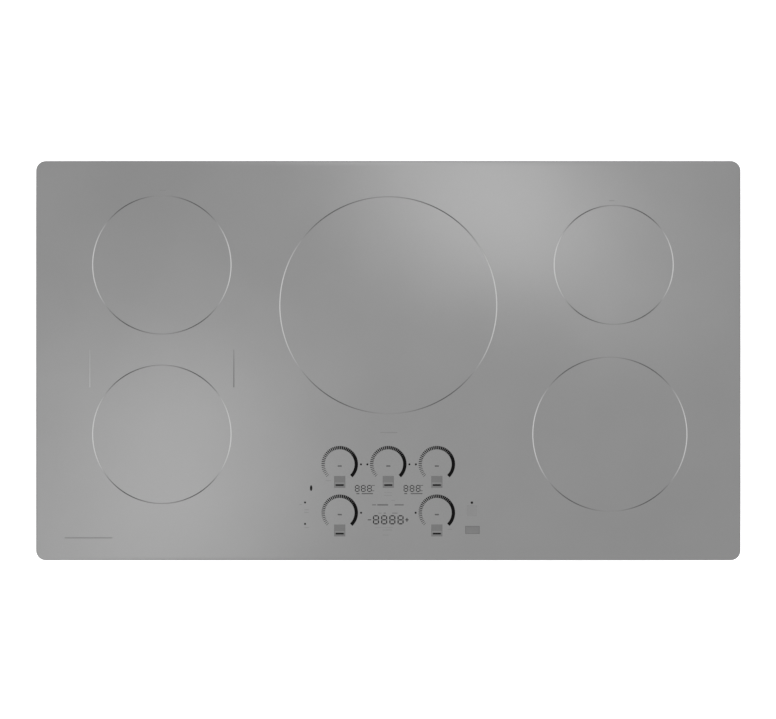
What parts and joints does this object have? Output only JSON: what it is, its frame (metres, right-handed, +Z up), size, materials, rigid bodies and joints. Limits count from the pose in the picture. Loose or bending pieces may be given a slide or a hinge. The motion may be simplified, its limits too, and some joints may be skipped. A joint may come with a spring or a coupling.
{
  "type": "induction cooktop",
  "caption": "Built-in induction cooktop: silver glass ceramic with round zones and touch dials over a sheet steel burner box with sprung coil trays, blowers and clamps.",
  "frame": {"origin": "centre of the base, on the plane that the bottom cover stands on", "axes": "+Z up to the cooking surface, -Y towards the user and the touch controls, +X to the user's right"},
  "size_m": [0.914, 0.518, 0.1051],
  "materials": {
    "ceramic_glass": "satin silver glass ceramic, opaque, with a ground edge",
    "zone_print": "fired pale metallic enamel line",
    "scale_print": "fired black enamel",
    "display_print": "fired dark grey enamel",
    "black_foam": "closed-cell sealing foam",
    "zinc_sheet": "galvanised sheet steel",
    "cover_sheet": "galvanised sheet steel, pressed",
    "tray_aluminium": "mill finish sheet",
    "copper_litz": "enamelled copper litz",
    "former_resin": "glass-filled resin, moulded",
    "ferrite": "sintered ferrite",
    "insulation_mat": "pressed ceramic fibre",
    "silicone": "moulded silicone",
    "spring_steel": "drawn spring wire",
    "turned_steel": "zinc plated, turned",
    "circuit_board": "solder mask over glass epoxy, with components",
    "fin_aluminium": "extruded and sawn",
    "blower_plastic": "moulded flame-retardant plastic",
    "touch_plastic": "moulded black plastic",
    "acrylic": "moulded frosted acrylic",
    "terminal_plastic": "moulded polyamide with brass clamps",
    "clamp_steel": "zinc plated, bent sheet",
    "wire_sleeve": "silicone insulation"
  },
  "bodies": {
    "chassis": {"glass_top": "ceramic_glass", "zone_rings": "zone_print", "dial_marks": "scale_print", "display_marks": "display_print", "foam_seal": "black_foam", "mount_rail_left": "zinc_sheet", "mount_rail_right": "zinc_sheet", "mount_rail_front": "zinc_sheet", "mount_rail_rear": "zinc_sheet", "burner_box": "zinc_sheet", "bottom_cover": "cover_sheet", "springs_left": "spring_steel", "springs_centre": "spring_steel", "springs_right": "spring_steel", "spring_posts": "turned_steel", "power_board_left": "circuit_board", "power_board_centre": "circuit_board", "power_board_right": "circuit_board", "heat_sink_left": "fin_aluminium", "heat_sink_centre": "fin_aluminium", "heat_sink_right": "fin_aluminium", "blower_housing_left": "blower_plastic", "blower_housing_centre": "blower_plastic", "blower_housing_right": "blower_plastic", "filter_board": "circuit_board", "touch_board": "circuit_board", "touch_board_carrier": "touch_plastic", "light_guides": "acrylic", "terminal_block": "terminal_plastic", "junction_box": "zinc_sheet", "clamp_brackets": "clamp_steel", "case_screws": "turned_steel", "wiring_loom": "wire_sleeve"},
    "left_coil_deck": {"coil_tray_left": "tray_aluminium", "winding_left_rear": "copper_litz", "winding_left_front": "copper_litz", "former_left_rear": "former_resin", "former_left_front": "former_resin", "ferrites_left": "ferrite", "insulation_left": "insulation_mat", "sensors_left": "silicone"},
    "centre_coil_deck": {"coil_tray_centre": "tray_aluminium", "winding_centre": "copper_litz", "former_centre": "former_resin", "ferrites_centre": "ferrite", "insulation_centre": "insulation_mat", "sensors_centre": "silicone"},
    "right_coil_deck": {"coil_tray_right": "tray_aluminium", "winding_right_rear": "copper_litz", "winding_right_front": "copper_litz", "former_right_rear": "former_resin", "former_right_front": "former_resin", "ferrites_right": "ferrite", "insulation_right": "insulation_mat", "sensors_right": "silicone"},
    "left_wheel": {"blower_wheel_left": "blower_plastic"},
    "centre_wheel": {"blower_wheel_centre": "blower_plastic"},
    "right_wheel": {"blower_wheel_right": "blower_plastic"},
    "left_clamp": {"clamp_screw_left": "turned_steel"},
    "right_clamp": {"clamp_screw_right": "turned_steel"}
  },
  "joints": [
    {"name": "left_deck_float", "type": "slide", "parent": "chassis", "child": "left_coil_deck", "axis": [0, 0, 1], "range_m": [-0.003, 0], "stiffness_N_per_m": 10000, "springref_m": 0.006, "deforming": ["springs_left"]},
    {"name": "centre_deck_float", "type": "slide", "parent": "chassis", "child": "centre_coil_deck", "axis": [0, 0, 1], "range_m": [-0.003, 0], "stiffness_N_per_m": 8000, "springref_m": 0.006, "deforming": ["springs_centre"]},
    {"name": "right_deck_float", "type": "slide", "parent": "chassis", "child": "right_coil_deck", "axis": [0, 0, 1], "range_m": [-0.003, 0], "stiffness_N_per_m": 10000, "springref_m": 0.006, "deforming": ["springs_right"]},
    {"name": "left_wheel_spin", "type": "hinge", "parent": "chassis", "child": "left_wheel", "pos_m": [-0.2938, 0.08035, 0.024], "axis": [0, 0, 1], "continuous": true},
    {"name": "centre_wheel_spin", "type": "hinge", "parent": "chassis", "child": "centre_wheel", "pos_m": [0, 0.1499, 0.024], "axis": [0, 0, 1], "continuous": true},
    {"name": "right_wheel_spin", "type": "hinge", "parent": "chassis", "child": "right_wheel", "pos_m": [0.2875, 0.08035, 0.024], "axis": [0, 0, 1], "continuous": true},
    {"name": "left_clamp_travel", "type": "slide", "parent": "chassis", "child": "left_clamp", "axis": [0, 0, 1], "range_m": [0, 0.025]},
    {"name": "right_clamp_travel", "type": "slide", "parent": "chassis", "child": "right_clamp", "axis": [0, 0, 1], "range_m": [0, 0.025]}
  ]
}
